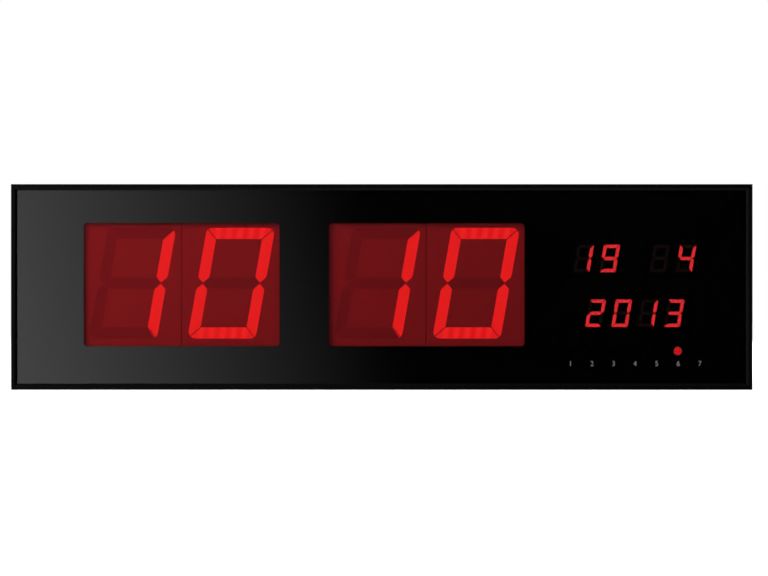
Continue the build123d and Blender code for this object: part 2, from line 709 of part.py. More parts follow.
def make_buttons():
    """The four push buttons, the switches that they press and the guide that keeps them straight."""
    back = CALENDAR_BOARD_BACK
    switches = []
    for name, x in zip(BUTTON_NAMES, button_places()):
        write(name, button(x))
        width, height, depth = SWITCH_SIZE
        body = plate(x, BUTTON_Z, width, height, back, back + depth, SWITCH_CORNER)
        switches.append(body - peg(x, BUTTON_Z, BUTTON_STEM + BUTTON_PLAY, back + SWITCH_FLOOR, back + depth))
    write("switch_bodies", joined(switches))
    middle = sum(button_places()) / len(BUTTON_NAMES)
    guide_front = COVER_FRONT - GUIDE_DEPTH
    guide = plate(middle, BUTTON_Z, *GUIDE_SIZE, guide_front, COVER_FRONT, GUIDE_CORNER)
    flange_front = COVER_FRONT - MODULE_PLAY - BUTTON_FLANGE[1]
    step = flange_front - BUTTON_TRAVEL - BUTTON_PLAY
    for x in button_places():
        guide -= peg(x, BUTTON_Z, BUTTON_RADIUS + BUTTON_PLAY, guide_front, COVER_FRONT)
        guide -= peg(x, BUTTON_Z, BUTTON_FLANGE[0] + BUTTON_PLAY, step, COVER_FRONT)
    for x, z in guide_screw_places():
        guide -= peg(x, z, THREAD_HOLE, guide_front + GUIDE_SKIN, COVER_FRONT)
    write("button_guide", guide)


# ================================================================ back-up cell
def strip(points, shift, z, width):
    """A bent flat strip: one face's line in X and layers, the shift to its other face, and its width."""
    other = [(x + shift[0], layer + shift[1]) for x, layer in reversed(points)]
    outline = [(x, y_of(layer), z - width / 2) for x, layer in points + other]
    return extrude(make_face(Polyline(*outline, close=True)), amount=width, dir=(0, 0, 1))


def battery_tray(floor_front, floor_back, door_front, lead_xs):
    """The tray: a pocket for the door, a room for the cell, a screw boss and slots for the leads."""
    width, height = (size + 2 * TRAY_RIM for size in DOOR_SIZE)
    tray = plate(TRAY_X, TRAY_Z, width, height, floor_front, COVER_FRONT, TRAY_CORNER)
    tray -= plate(TRAY_X, TRAY_Z, *DOOR_SIZE, door_front, COVER_FRONT, DOOR_RADIUS)
    room = (CELL_ROOM, CELL_ROOM, floor_back, COVER_FRONT, CELL_ROOM_CORNER)
    tray -= plate(TRAY_X + CELL_OFFSET, TRAY_Z, *room)
    tray -= peg(TRAY_X + DOOR_SCREW_OFFSET, TRAY_Z, THREAD_HOLE, floor_back, COVER_FRONT)
    return tray - [plate(x, TRAY_Z, *LEAD_SLOT, floor_front, floor_back) for x in lead_xs]


def cell_lead(x, step, top):
    """A lead from a contact down to the board, with two soft bends."""
    drop = (top - CALENDAR_BOARD_BACK) / 3
    route = FilletPolyline(
        (x, y_of(top), TRAY_Z),
        (x, y_of(top - drop), TRAY_Z),
        (x + step, y_of(top - 2 * drop), TRAY_Z),
        (x + step, y_of(CALENDAR_BOARD_BACK), TRAY_Z),
        radius=LEAD_BEND,
    )
    return sweep(Plane((x, y_of(top), TRAY_Z), z_dir=(0, -1, 0)) * Circle(LEAD_RADIUS), path=route)


def battery_door(door_front):
    """The door, with its screw hole and the grooves that a fingertip grips."""
    width, height = (size - 2 * DOOR_PLAY for size in DOOR_SIZE)
    door = plate(TRAY_X, TRAY_Z, width, height, door_front, COVER_BACK, DOOR_RADIUS - DOOR_PLAY)
    door -= peg(TRAY_X + DOOR_SCREW_OFFSET, TRAY_Z, THREAD_HOLE, door_front, COVER_BACK)
    groove_width, groove_height, groove_depth = GRIP_SIZE
    for i in range(GRIP_COUNT):
        x = TRAY_X + GRIP_FROM_MIDDLE + i * GRIP_PITCH
        door -= plate(x, TRAY_Z, groove_width, groove_height, COVER_BACK - groove_depth, COVER_BACK)
    return door


def make_cell():
    """The back-up cell, its tray, contacts and leads, and the door with its locking screw."""
    door_front = COVER_BACK - DOOR_THICK
    floor_back = door_front - CELL_THICK - 2 * CELL_LIFT
    cell_front = floor_back + CELL_LIFT
    cell_x = TRAY_X + CELL_OFFSET
    cell = peg(cell_x, TRAY_Z, CELL_RADIUS, cell_front, cell_front + CELL_THICK)
    write("coin_cell", fillet(cell.edges(), CELL_EDGE))

    leaf_end = cell_x + CELL_RADIUS + TAIL_REACH
    clip_x = cell_x - CELL_RADIUS - CONTACT_THICK
    leaf = [
        (cell_x - CELL_RADIUS / 2, cell_front - CONTACT_THICK),
        (cell_x, floor_back),
        (leaf_end, floor_back),
    ]
    clip = [(clip_x, floor_back), (clip_x, cell_front + CELL_THICK)]
    contacts = [
        strip(leaf, (0, CONTACT_THICK), TRAY_Z, CONTACT_WIDTH),
        strip(clip, (CONTACT_THICK, 0), TRAY_Z, CONTACT_WIDTH),
    ]
    write("cell_contacts", joined(contacts))

    lead_xs = (leaf_end - TAIL_REACH / 2, clip_x + CONTACT_THICK / 2)
    leads = [cell_lead(x, step, floor_back) for x, step in zip(lead_xs, (LEAD_STEP, -LEAD_STEP))]
    write("cell_leads", joined(leads))
    write("battery_tray", battery_tray(floor_back - TRAY_FLOOR, floor_back, door_front, lead_xs))
    write("battery_door", battery_door(door_front))
    screw_place = (TRAY_X + DOOR_SCREW_OFFSET, y_of(COVER_BACK), TRAY_Z)
    write("door_screw", at(screw_place, (0, 1, 0), pan_screw(SCREW_LENGTH)))


# ================================================================ what else stands on the boards
def make_jack():
    """The power jack behind the hole in the bottom rail, and its centre pin."""
    back = CALENDAR_BOARD_BACK
    width, length, height = JACK_SIZE
    low = WALL + JACK_GAP
    mouth = Pos(JACK_X, y_of(back + JACK_AXIS_HEIGHT), low)
    jack = plate(JACK_X, low + length / 2, width, length, back, back + height)
    jack = fillet(jack.edges().filter_by(Axis.Z).group_by(Axis.Y)[-1], JACK_ROUND)
    write("power_jack", jack - mouth * Pos(0, 0, JACK_DEPTH / 2) * Cylinder(JACK_BORE, JACK_DEPTH))
    pin = Cylinder(JACK_PIN, JACK_DEPTH - JACK_PIN_SUNK)
    pin = mouth * Pos(0, 0, (JACK_DEPTH + JACK_PIN_SUNK) / 2) * pin
    write("power_jack_pin", fillet(pin.edges().sort_by(Axis.Z)[0], JACK_PIN_TIP))


def on_board(place, size, back, corner=0.0):
    """A flat part that stands on the back of a board."""
    return plate(*place, size[0], size[1], back, back + size[2], corner)


def upright_can(x, z, radius, tall, edge_round):
    """A round part that stands on the calendar board, with a rounded top edge."""
    can = peg(x, z, radius, CALENDAR_BOARD_BACK, CALENDAR_BOARD_BACK + tall)
    return fillet(can.edges().sort_by(Axis.Y)[-1], edge_round)


def make_components():
    """The buzzer, chips, clock crystal, regulator and capacitors."""
    back = CALENDAR_BOARD_BACK
    top = back + BUZZER_SIZE[1]
    buzzer = upright_can(*BUZZER_AT, *BUZZER_SIZE, BUZZER_ROUND)
    write("buzzer", buzzer - peg(*BUZZER_AT, SOUND_HOLE, top - BUZZER_MOUTH, top))
    write("controller_chip", on_board(CONTROLLER_AT, CONTROLLER_SIZE, back))
    crystal = on_board(CRYSTAL_AT, CRYSTAL_SIZE, back, CRYSTAL_CORNER)
    write("clock_crystal", fillet(crystal.edges().group_by(Axis.Y)[-1], CELL_EDGE))
    x, z = REGULATOR_AT
    tab_z = z + (REGULATOR_SIZE[1] + TAB_SIZE[1]) / 2
    tab = on_board((x, tab_z), TAB_SIZE, back) - peg(x, tab_z, TAB_HOLE, back, back + TAB_SIZE[2])
    write("regulator", on_board(REGULATOR_AT, REGULATOR_SIZE, back) + tab)
    write("capacitors", joined([upright_can(*can, CAN_ROUND) for can in CAPACITORS]))
    chips = []
    for middle in (HOURS_X, MINUTES_X):
        for x in (middle - DIGIT_PITCH / 2, middle + DIGIT_PITCH / 2):
            chips.append(on_board((x, DIGIT_Z), DRIVER_SIZE, DIGIT_BOARD_BACK))
    write("driver_chips", joined(chips))


# ================================================================ ribbon cables between the boards
def ribbon(x_from, back_from, x_to, back_to):
    """A flat cable from one header's side to another's, arched towards the rear cover."""
    start, end = y_of(back_from + RIBBON_HEIGHT), y_of(back_to + RIBBON_HEIGHT)
    crest = max(start, end) + RIBBON_RISE
    span = x_to - x_from
    route = FilletPolyline(
        (x_from, start, DIGIT_Z),
        (x_from + RIBBON_FOOT * span, start, DIGIT_Z),
        (x_from + RIBBON_CREST * span, crest, DIGIT_Z),
        (x_to - RIBBON_CREST * span, crest, DIGIT_Z),
        (x_to - RIBBON_FOOT * span, end, DIGIT_Z),
        (x_to, end, DIGIT_Z),
        radius=RIBBON_BEND,
    )
    section = Plane((x_from, start, DIGIT_Z), x_dir=(0, 1, 0), z_dir=(1, 0, 0))
    return sweep(section * Rectangle(RIBBON_THICK, RIBBON_WIDTH), path=route)


def make_ribbons():
    """The header at each board's edge, and the two ribbon cables between them."""
    side = HEADER_SIZE[0] / 2
    reach = BOARD_WIDTH / 2 - HEADER_INSET
    places = [
        (HOURS_X + reach, DIGIT_BOARD_BACK),
        (MINUTES_X - reach, DIGIT_BOARD_BACK),
        (MINUTES_X + reach, DIGIT_BOARD_BACK),
        (CALENDAR_X - CALENDAR_BOARD[0] / 2 + HEADER_INSET, CALENDAR_BOARD_BACK),
    ]
    headers = [on_board((x, DIGIT_Z), HEADER_SIZE, back, HEADER_CORNER) for x, back in places]
    write("ribbon_headers", joined(headers))
    (x0, b0), (x1, b1), (x2, b2), (x3, b3) = places
    write("hours_ribbon", ribbon(x0 + side, b0, x1 - side, b1))
    write("minutes_ribbon", ribbon(x2 + side, b2, x3 - side, b3))


os.makedirs("parts", exist_ok=True)
make_frame()
make_front()
make_digits()
make_lamps()
make_boards()
make_cover()
make_buttons()
make_cell()
make_jack()
make_components()
make_ribbons()
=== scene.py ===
"""The looks of a wide wall clock and timer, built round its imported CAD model. Units are metres."""
import math

import bpy
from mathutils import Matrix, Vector


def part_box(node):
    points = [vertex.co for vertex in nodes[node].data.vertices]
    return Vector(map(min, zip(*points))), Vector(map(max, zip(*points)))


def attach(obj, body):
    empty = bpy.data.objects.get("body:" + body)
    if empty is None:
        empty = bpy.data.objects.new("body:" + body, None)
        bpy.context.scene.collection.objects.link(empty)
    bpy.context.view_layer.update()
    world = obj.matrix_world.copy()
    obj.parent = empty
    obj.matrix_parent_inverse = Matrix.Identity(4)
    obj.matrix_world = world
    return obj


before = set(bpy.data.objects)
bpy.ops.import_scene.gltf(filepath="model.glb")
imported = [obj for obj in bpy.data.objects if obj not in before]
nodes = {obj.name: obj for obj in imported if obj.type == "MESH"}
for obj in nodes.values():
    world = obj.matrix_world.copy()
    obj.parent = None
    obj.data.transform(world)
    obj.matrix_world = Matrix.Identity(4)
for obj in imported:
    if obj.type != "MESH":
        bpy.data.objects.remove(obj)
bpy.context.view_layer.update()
bpy.ops.object.select_all(action="DESELECT")

MM = 0.001
LEAN = math.tan(math.radians(10.0))
CASE_LOW, CASE_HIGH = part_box("rail_bottom")[0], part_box("rail_top")[1]
PANEL_LOW, PANEL_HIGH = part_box("front_panel")

# what the two displays and the calendar read: the bars that are lit in each digit
BARS_OF = {
    "0": "ABCDEF", "1": "BC", "2": "ABGED", "3": "ABGCD", "4": "FGBC", "9": "ABCDFG", " ": "",
}
READINGS = {
    "hours_tens": "1", "hours_ones": "0", "minutes_tens": "1", "minutes_ones": "0",
    "day": "19", "month": " 4", "year": "2013",
}
LIT_DAY = 5


# ---------------------------------------------------------------- helpers for materials
def linear(code):
    """An sRGB hex colour as the linear RGBA that the shaders take."""
    parts = [int(code[i:i + 2], 16) / 255 for i in (1, 3, 5)]
    return tuple(c / 12.92 if c <= 0.04045 else ((c + 0.055) / 1.055) ** 2.4 for c in parts) + (1.0,)


def add(tree, kind, inputs=None, **settings):
    """Adds a node. Its settings are properties, and its inputs are values or sockets to link."""
    made = tree.nodes.new(kind)
    for name, value in settings.items():
        setattr(made, name, value)
    for name, value in (inputs or {}).items():
        if isinstance(value, bpy.types.NodeSocket):
            tree.links.new(value, made.inputs[name])
        else:
            made.inputs[name].default_value = value
    return made


def new_material(name):
    """An empty material with its output node, and its tree."""
    material = bpy.data.materials.new(name)
    material.use_nodes = True
    tree = material.node_tree
    tree.nodes.clear()
    return material, tree, add(tree, "ShaderNodeOutputMaterial")


def grain(tree, patch, stretch=(1, 1, 1), detail=4.0, roughness=0.55):
    """Noise on the piece's own coordinates. A patch is so many millimetres wide; stretch is per axis."""
    place = add(tree, "ShaderNodeTexCoord")
    scale = tuple(s / (patch * MM) for s in stretch)
    mapped = add(tree, "ShaderNodeMapping", {"Vector": place.outputs["Object"], "Scale": scale})
    inputs = {"Vector": mapped.outputs[0], "Scale": 1.0, "Detail": detail, "Roughness": roughness}
    return add(tree, "ShaderNodeTexNoise", inputs).outputs["Fac"]


def spread(tree, value, low, high, start=0.3, stop=0.7):
    """A value turned from the range start to stop into the range low to high."""
    inputs = {"Value": value, "From Min": start, "From Max": stop, "To Min": low, "To Max": high}
    return add(tree, "ShaderNodeMapRange", inputs).outputs[0]


def two_tone(tree, factor, first, second):
    """A mix of two hex colours, or of a socket and a hex colour."""
    inputs = {0: factor, 6: first if isinstance(first, bpy.types.NodeSocket) else linear(first), 7: linear(second)}
    return add(tree, "ShaderNodeMix", inputs, data_type="RGBA").outputs[2]


def bumps(tree, height, depth, strength=1.0):
    """A bump of a real depth in millimetres."""
    inputs = {"Height": height, "Distance": depth * MM, "Strength": strength}
    return add(tree, "ShaderNodeBump", inputs).outputs[0]


def finish_with(tree, output, inputs):
    """Ends the tree in one Principled shader."""
    shader = add(tree, "ShaderNodeBsdfPrincipled", inputs)
    tree.links.new(shader.outputs[0], output.inputs[0])
    return shader


# ---------------------------------------------------------------- the frame and the panel
def anodised_aluminium(name, along):
    """Extruded aluminium, black anodised: satin black with faint die lines along the rail."""
    material, tree, output = new_material(name)
    stretch = tuple(0.012 if axis == along else 1.0 for axis in "xyz")
    lines = grain(tree, 0.4, stretch, detail=3)
    blotch = grain(tree, 16)
    colour = two_tone(tree, spread(tree, lines, 0, 1), "#020202", "#040404")
    colour = two_tone(tree, spread(tree, blotch, 0, 0.35, 0.45, 0.8), colour, "#070708")
    rough = spread(tree, lines, 0.26, 0.36)
    finish_with(tree, output, {
        "Base Color": colour, "Roughness": rough, "Specular IOR Level": 0.06,
        "Normal": bumps(tree, lines, 0.02, 0.25),
    })
    return material


def smoked_acrylic():
    """Cast acrylic, dyed dark and polished: a black mirror that bright lamps shine through."""
    material, tree, output = new_material("smoked_cast_acrylic")
    haze = grain(tree, 12, detail=6)
    wipe = grain(tree, 1.4, (1, 1, 0.06), detail=2)
    colour = two_tone(tree, spread(tree, haze, 0, 1), "#010101", "#020202")
    rough = spread(tree, wipe, 0.03, 0.055)
    finish_with(tree, output, {
        "Base Color": colour, "Roughness": rough, "IOR": 1.86, "Alpha": 0.5,
    })
    return material


def red_filter():
    """Cast acrylic filter, clear red with a fine matt front: colours what lies behind it."""
    material, tree, output = new_material("red_filter_acrylic")
    tooth = grain(tree, 0.7, detail=2)
    clear = add(tree, "ShaderNodeBsdfTransparent", {"Color": (0.92, 0.35, 0.35, 1.0)})
    colour = two_tone(tree, spread(tree, tooth, 0, 1), "#5E2A33", "#663038")
    face = add(tree, "ShaderNodeBsdfPrincipled", {
        "Base Color": colour, "Roughness": 0.55, "Specular IOR Level": 0.12,
        "Normal": bumps(tree, tooth, 0.03, 0.3),
    })
    both = add(tree, "ShaderNodeMixShader", {0: 0.12, 1: clear.outputs[0], 2: face.outputs[0]})
    tree.links.new(both.outputs[0], output.inputs[0])
    return material


def smoked_film():
    """Neutral grey filter film, glossy and thin."""
    material, tree, output = new_material("neutral_smoked_film")
    rough = spread(tree, grain(tree, 3.3), 0.08, 0.16)
    finish_with(tree, output, {"Base Color": linear("#030304"), "Roughness": rough, "Specular IOR Level": 0.1, "Alpha": 0.37})
    return material


def screen_ink():
    """Black screen-print ink on the panel's back: dead matt, with the weave of the screen."""
    material, tree, output = new_material("black_screen_ink")
    weave = grain(tree, 0.25, detail=1)
    colour = two_tone(tree, spread(tree, weave, 0, 1), "#020202", "#060606")
    finish_with(tree, output, {
        "Base Color": colour, "Roughness": 0.85, "Specular IOR Level": 0.1,
        "Normal": bumps(tree, weave, 0.01, 0.4),
    })
    return material


def grey_ink():
    """Grey screen-print ink on the panel: flat, slightly uneven at its edges."""
    material, tree, output = new_material("grey_screen_ink")
    weave = grain(tree, 0.4, detail=2)
    colour = two_tone(tree, spread(tree, weave, 0, 1), "#7E7F82", "#909194")
    finish_with(tree, output, {
        "Base Color": colour, "Roughness": 0.7, "Specular IOR Level": 0.2,
        "Normal": bumps(tree, weave, 0.01, 0.3),
    })
    return material


def foam():
    """Closed-cell foam tape: soft black with small pores."""
    material, tree, output = new_material("closed_cell_foam")
    place = add(tree, "ShaderNodeTexCoord").outputs["Object"]
    cells = add(tree, "ShaderNodeTexVoronoi", {"Vector": place, "Scale": 1 / (0.45 * MM)}).outputs["Distance"]
    # the pores are painted darker than the walls between them, in the pits that the bump makes: painted shade
    colour = two_tone(tree, spread(tree, cells, 0, 1, 0.1, 0.6), "#0C0C0C", "#1B1B1B")
    finish_with(tree, output, {
        "Base Color": colour, "Roughness": 0.95, "Specular IOR Level": 0.15,
        "Normal": bumps(tree, cells, 0.1, 0.6),
    })
    return material


# ---------------------------------------------------------------- the displays
def module_plastic(name, face_y, face_colour, dark_colour):
    """Moulded polycarbonate housing: a painted face on a plain grey body."""
    material, tree, output = new_material(name)
    place = add(tree, "ShaderNodeTexCoord").outputs["Object"]
    depth = add(tree, "ShaderNodeSeparateXYZ", {0: place}).outputs["Y"]
    behind = spread(tree, depth, 0, 1, face_y + 0.9 * MM, face_y + 1.1 * MM)
    speckle = grain(tree, 0.7, detail=3)
    painted = two_tone(tree, spread(tree, speckle, 0, 1), face_colour, dark_colour)
    colour = two_tone(tree, behind, painted, "#A9ABAA")
    finish_with(tree, output, {
        "Base Color": colour, "Roughness": spread(tree, speckle, 0.6, 0.75), "Specular IOR Level": 0.25,
        "Normal": bumps(tree, speckle, 0.03, 0.3),
    })
    return material


def unlit_resin(name, light, dark):
    """Milky epoxy diffuser, unlit: a soft grey block with a faint cast texture."""
    material, tree, output = new_material(name)
    cloud = grain(tree, 2, detail=3)
    colour = two_tone(tree, spread(tree, cloud, 0, 1), light, dark)
    finish_with(tree, output, {
        "Base Color": colour, "Roughness": spread(tree, cloud, 0.4, 0.55), "Specular IOR Level": 0.3,
        "Normal": bumps(tree, cloud, 0.05, 0.2),
    })
    return material


def dice_glow(tree, centre, pitch, half_height, bar):
    """How bright a bar is: a spot over each chip along its upright or level run, dim at its ends."""
    place = add(tree, "ShaderNodeTexCoord").outputs["Object"]
    axes = add(tree, "ShaderNodeSeparateXYZ", {0: place})

    def sum_of(a, operation, b, c=0.0):
        return add(tree, "ShaderNodeMath", {0: a, 1: b, 2: c}, operation=operation).outputs[0]

    up = sum_of(axes.outputs["Z"], "SUBTRACT", centre[1])
    across = sum_of(sum_of(axes.outputs["X"], "SUBTRACT", centre[0]), "SUBTRACT", sum_of(up, "MULTIPLY", LEAN))
    wave = sum_of(sum_of(across, "MULTIPLY", 2 * math.pi / pitch), "COSINE", 0)
    # only the level bars at the digit's top and bottom show their spots
    outer = spread(tree, sum_of(up, "ABSOLUTE", 0), 0, 1, half_height - bar, half_height - bar * 0.9)
    inside = spread(tree, sum_of(across, "ABSOLUTE", 0), 1, 0, 2.35 * pitch, 2.75 * pitch)
    level = sum_of(outer, "MULTIPLY", inside)
    return sum_of(sum_of(wave, "MULTIPLY", level), "MULTIPLY_ADD", 0.5, 0.5)


def lit_resin(name, light, strength, centre, pitch, half_height, bar):
    """The same diffuser, lit: even along its sides, with a hot spot over each chip in its level bars."""
    material, tree, output = new_material(name)
    glow = dice_glow(tree, centre, pitch, half_height, bar)
    cloud = spread(tree, grain(tree, 3.3, detail=2), 0.98, 1.02)
    power = add(tree, "ShaderNodeMath", {
        0: spread(tree, glow, 0.9 * strength, 1.04 * strength, 0, 1), 1: cloud,
    }, operation="MULTIPLY").outputs[0]
    finish_with(tree, output, {
        "Base Color": linear("#5A1512"), "Roughness": 0.5, "Specular IOR Level": 0.2,
        "Emission Color": two_tone(tree, glow, *light), "Emission Strength": power,
    })
    return material


def lamp_resin(lit):
    """Clear red epoxy lamp. Lit, its middle is hot and its rim is deeper."""
    material, tree, output = new_material("red_epoxy_lamp_" + ("lit" if lit else "unlit"))
    cloud = grain(tree, 1.4, detail=2)
    inputs = {
        "Base Color": two_tone(tree, spread(tree, cloud, 0, 1), "#2A0807", "#340A08"),
        "Roughness": spread(tree, cloud, 0.12, 0.2), "IOR": 1.53, "Specular IOR Level": 0.15,
    }
    if lit:
        facing = add(tree, "ShaderNodeLayerWeight", {"Blend": 0.35}).outputs["Facing"]
        rim = spread(tree, facing, 0, 1, 0.04, 0.42)
        inputs["Emission Color"] = two_tone(tree, rim, "#FF1A18", "#FF3A46")
        inputs["Emission Strength"] = spread(tree, rim, 6.0, 2.6, 0, 1)
    finish_with(tree, output, inputs)
    return material


# ---------------------------------------------------------------- the boards and what stands on them
def circuit_board():
    """Glass-epoxy board under green solder resist: glossy, with copper tracks showing as ridges."""
    material, tree, output = new_material("green_circuit_board")
    place = add(tree, "ShaderNodeTexCoord").outputs["Object"]
    turned = add(tree, "ShaderNodeMapping", {"Vector": place, "Rotation": (math.pi / 2, 0, 0)})
    # tracks 0.6 mm wide at a pitch of 2.54 mm
    tracks = add(tree, "ShaderNodeTexBrick", {
        "Vector": turned.outputs[0], "Scale": 1.0, "Mortar Size": 0.0006, "Mortar Smooth": 0.1,
        "Brick Width": 0.0381, "Row Height": 0.00254,
    }, offset=0.37).outputs["Fac"]
    weave = grain(tree, 0.55, detail=2)
    colour = two_tone(tree, spread(tree, weave, 0, 1), "#0F3D22", "#124A29")
    colour = two_tone(tree, tracks, colour, "#1F6B3B")
    finish_with(tree, output, {
        "Base Color": colour, "Roughness": spread(tree, weave, 0.25, 0.4),
        "Normal": bumps(tree, tracks, 0.04, 0.6),
    })
    return material


def moulded_plastic(name, light, dark, patch=1.1, depth=0.04, rough=(0.45, 0.6)):
    """Moulded ABS or nylon with an eroded mould texture: a dull, even black."""
    material, tree, output = new_material(name)
    tooth = grain(tree, patch)
    rub = grain(tree, 14, detail=5)
    colour = two_tone(tree, spread(tree, tooth, 0, 1), light, dark)
    rough_now = add(tree, "ShaderNodeMath", {
        0: spread(tree, tooth, *rough), 1: spread(tree, rub, -0.08, 0.06),
    }, operation="ADD").outputs[0]
    finish_with(tree, output, {
        "Base Color": colour, "Roughness": rough_now, "Specular IOR Level": 0.4,
        "Normal": bumps(tree, tooth, depth, 0.5),
    })
    return material


def powder_coat():
    """Sheet steel, powder coated black: fine orange peel with a soft sheen."""
    material, tree, output = new_material("black_powder_coated_steel")
    peel = grain(tree, 1.1, detail=2)
    fine = grain(tree, 0.3, detail=2)
    rub = grain(tree, 40, (1, 1, 2.5), detail=6)
    colour = two_tone(tree, spread(tree, fine, 0, 1), "#161617", "#1E1E20")
    colour = two_tone(tree, spread(tree, rub, 0, 0.4, 0.55, 0.8), colour, "#26272A")
    finish_with(tree, output, {
        "Base Color": colour, "Roughness": spread(tree, rub, 0.6, 0.46), "Specular IOR Level": 0.42,
        "Normal": bumps(tree, peel, 0.06, 0.55),
    })
    return material


def plated_metal(name, light, dark, rough):
    """Plated or drawn metal with fine tool marks and small stains."""
    material, tree, output = new_material(name)
    marks = grain(tree, 0.8, detail=3)
    stain = grain(tree, 6, detail=5)
    colour = two_tone(tree, spread(tree, stain, 0, 1), light, dark)
    finish_with(tree, output, {
        "Base Color": colour, "Metallic": 1.0, "Roughness": spread(tree, marks, rough - 0.06, rough + 0.08),
        "Normal": bumps(tree, marks, 0.01, 0.1),
    })
    return material


def electrolytic_can(top_y):
    """Capacitor: a black shrunk sleeve, open over the bare aluminium end."""
    material, tree, output = new_material("sleeved_aluminium_can")
    place = add(tree, "ShaderNodeTexCoord").outputs["Object"]
    depth = add(tree, "ShaderNodeSeparateXYZ", {0: place}).outputs["Y"]
    bare = spread(tree, depth, 0, 1, top_y - 0.45 * MM, top_y - 0.35 * MM)
    marks = grain(tree, 0.7, detail=3)
    colour = two_tone(tree, bare, "#141416", "#B9BABC")
    finish_with(tree, output, {
        "Base Color": colour, "Metallic": bare, "Roughness": spread(tree, marks, 0.28, 0.42),
        "Normal": bumps(tree, marks, 0.02, 0.3),
    })
    return material


def ribbon_cable():
    """Flat cable: grey PVC conductors side by side, and a red one at the edge that marks the first."""
    material, tree, output = new_material("grey_ribbon_cable")
    low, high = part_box("hours_ribbon")
    place = add(tree, "ShaderNodeTexCoord").outputs["Object"]
    height = add(tree, "ShaderNodeSeparateXYZ", {0: place}).outputs["Z"]
    conductors = 10
    from_edge = add(tree, "ShaderNodeMath", {0: height, 1: low.z}, operation="SUBTRACT").outputs[0]
    count = add(tree, "ShaderNodeMath", {0: from_edge, 1: conductors / (high.z - low.z)}, operation="MULTIPLY").outputs[0]
    across = add(tree, "ShaderNodeMath", {0: count, 1: 1.0}, operation="PINGPONG").outputs[0]
    first = add(tree, "ShaderNodeMath", {0: count, 1: 1.0}, operation="LESS_THAN").outputs[0]
    # the grey is painted darker where the ridges dip and lighter on their crests, following the bump: painted shade
    colour = two_tone(tree, first, two_tone(tree, across, "#77797C", "#8F9194"), "#8E1B1B")
    finish_with(tree, output, {
        "Base Color": colour, "Roughness": spread(tree, grain(tree, 1.7), 0.45, 0.6),
        "Normal": bumps(tree, across, 0.2, 0.7),
    })
    return material


# ---------------------------------------------------------------- giving the nodes their materials
def paint(name, *materials):
    """Gives a CAD node its materials, and each of its faces the first."""
    slots = nodes[name].data.materials
    slots.clear()
    for material in materials:
        slots.append(material)
    for face in nodes[name].data.polygons:
        face.material_index = 0


def bar_at(across, up, half_width, half_height, bar):
    """The letter of the bar that holds a point of a digit, measured from the digit's centre."""
    if abs(across) + abs(up) < half_width - bar / 2 + 0.2 * MM and abs(up) < bar / 2 + 0.1 * MM:
        return "G"
    if half_height - abs(up) < half_width - abs(across):
        return "A" if up > 0 else "D"
    if up > 0:
        return "B" if across > 0 else "F"
    return "C" if across > 0 else "E"


def light_digits(name, reading, housing, bar, unlit, light, strength, pitch):
    """Splits a node of bars into unlit ones and each digit's lit ones."""
    node = nodes[name]
    low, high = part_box(name)
    box_low, box_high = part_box(housing)
    count = len(reading)
    step = (box_high.x - box_low.x) / count
    gap = 0.2 * MM
    half_height = (high.z - low.z) / 2 + gap
    middle_z = (high.z + low.z) / 2
    centres = [box_low.x + (i + 0.5) * step for i in range(count)]
    digit_width = (high.x - low.x) - (count - 1) * step - LEAN * (high.z - low.z)
    half_width = digit_width / 2 + gap
    lit = [
        lit_resin(f"lit_resin_{name}_{i}", light, strength, (x, middle_z), pitch, half_height, bar)
        for i, x in enumerate(centres)
    ]
    paint(name, unlit, *lit)
    for face in node.data.polygons:
        digit = min(range(count), key=lambda i: abs(face.center.x - LEAN * (face.center.z - middle_z) - centres[i]))
        up = face.center.z - middle_z
        across = face.center.x - centres[digit] - LEAN * up
        if bar_at(across, up, half_width, half_height, bar) in BARS_OF[reading[digit]]:
            face.material_index = digit + 1


def paint_frame():
    """The rails, panel, films, mask and gasket."""
    level, upright = anodised_aluminium("black_anodised_level", "x"), anodised_aluminium("black_anodised_upright", "z")
    for name in ("rail_top", "rail_bottom"):
        paint(name, level)
    for name in ("rail_left", "rail_right"):
        paint(name, upright)
    paint("front_panel", smoked_acrylic())
    filter_red = red_filter()
    for name in ("hours_lens", "minutes_lens"):
        paint(name, filter_red)
    paint("calendar_filter", smoked_film())
    paint("mask_print", screen_ink())
    paint("panel_gasket", foam())


def paint_displays():
    """The large and small modules, their bars and the weekday lamps."""
    face_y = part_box("hours_tens_module")[0].y
    housing = module_plastic("grey_polycarbonate_large", face_y, "#8B8B8B", "#848585")
    unlit = unlit_resin("milky_epoxy_large", "#777777", "#707070")
    for digit in ("hours_tens", "hours_ones", "minutes_tens", "minutes_ones"):
        paint(digit + "_module", housing)
        light_digits(
            digit + "_segments", READINGS[digit], digit + "_module", 11 * MM, unlit, ("#F23C40", "#FA5E55"), 1.15, 10.0 * MM
        )
    face_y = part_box("day_modules")[0].y
    housing = module_plastic("grey_polycarbonate_small", face_y, "#2E2E2E", "#2A2A2A")
    unlit = unlit_resin("milky_epoxy_small", "#D0908C", "#C48682")
    for group in ("day", "month", "year"):
        paint(group + "_modules", housing)
        light_digits(
            group + "_segments", READINGS[group], group + "_modules", 3.4 * MM, unlit, ("#FF3036", "#FF383C"), 6.6, 4.0 * MM
        )
    paint("weekday_lamps", lamp_resin(False), lamp_resin(True))
    low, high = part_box("weekday_lamps")
    radius = (high.z - low.z) / 2
    step = (high.x - low.x - 2 * radius) / 6
    lit_x = low.x + radius + LIT_DAY * step
    for face in nodes["weekday_lamps"].data.polygons:
        face.material_index = int(abs(face.center.x - lit_x) < step / 2)
    paint("lamp_holder", moulded_plastic("black_nylon_holder", "#0B0B0B", "#101010", rough=(0.6, 0.75)))


